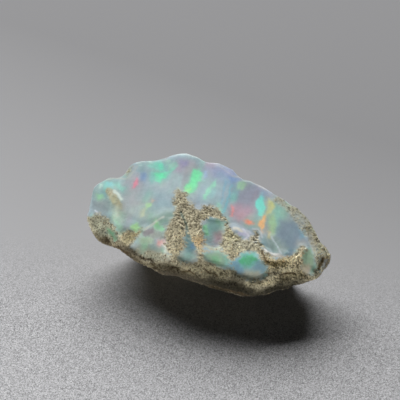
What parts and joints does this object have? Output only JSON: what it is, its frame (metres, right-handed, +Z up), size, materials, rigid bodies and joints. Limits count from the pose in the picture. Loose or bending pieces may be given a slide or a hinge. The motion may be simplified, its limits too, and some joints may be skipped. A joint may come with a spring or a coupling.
{
  "type": "rough opal specimen",
  "caption": "Rough precious opal, a wedge-shaped broken stone with sandy host rock along its lower edge and back, for display on a flat surface.",
  "frame": {"origin": "under the middle of the stone's bounding box, on the surface that it rests on", "axes": "+Z up, +X along the stone's longest way, -Y towards the broken side that shows the opal best"},
  "size_m": [0.031, 0.0146, 0.0131],
  "materials": {
    "opal": "polished-looking broken opal, translucent, with play of colour",
    "host_rock": "rough sandy rock, dry, tan with dark pits"
  },
  "bodies": {
    "root": {"opal_specimen": "opal"}
  },
  "joints": []
}
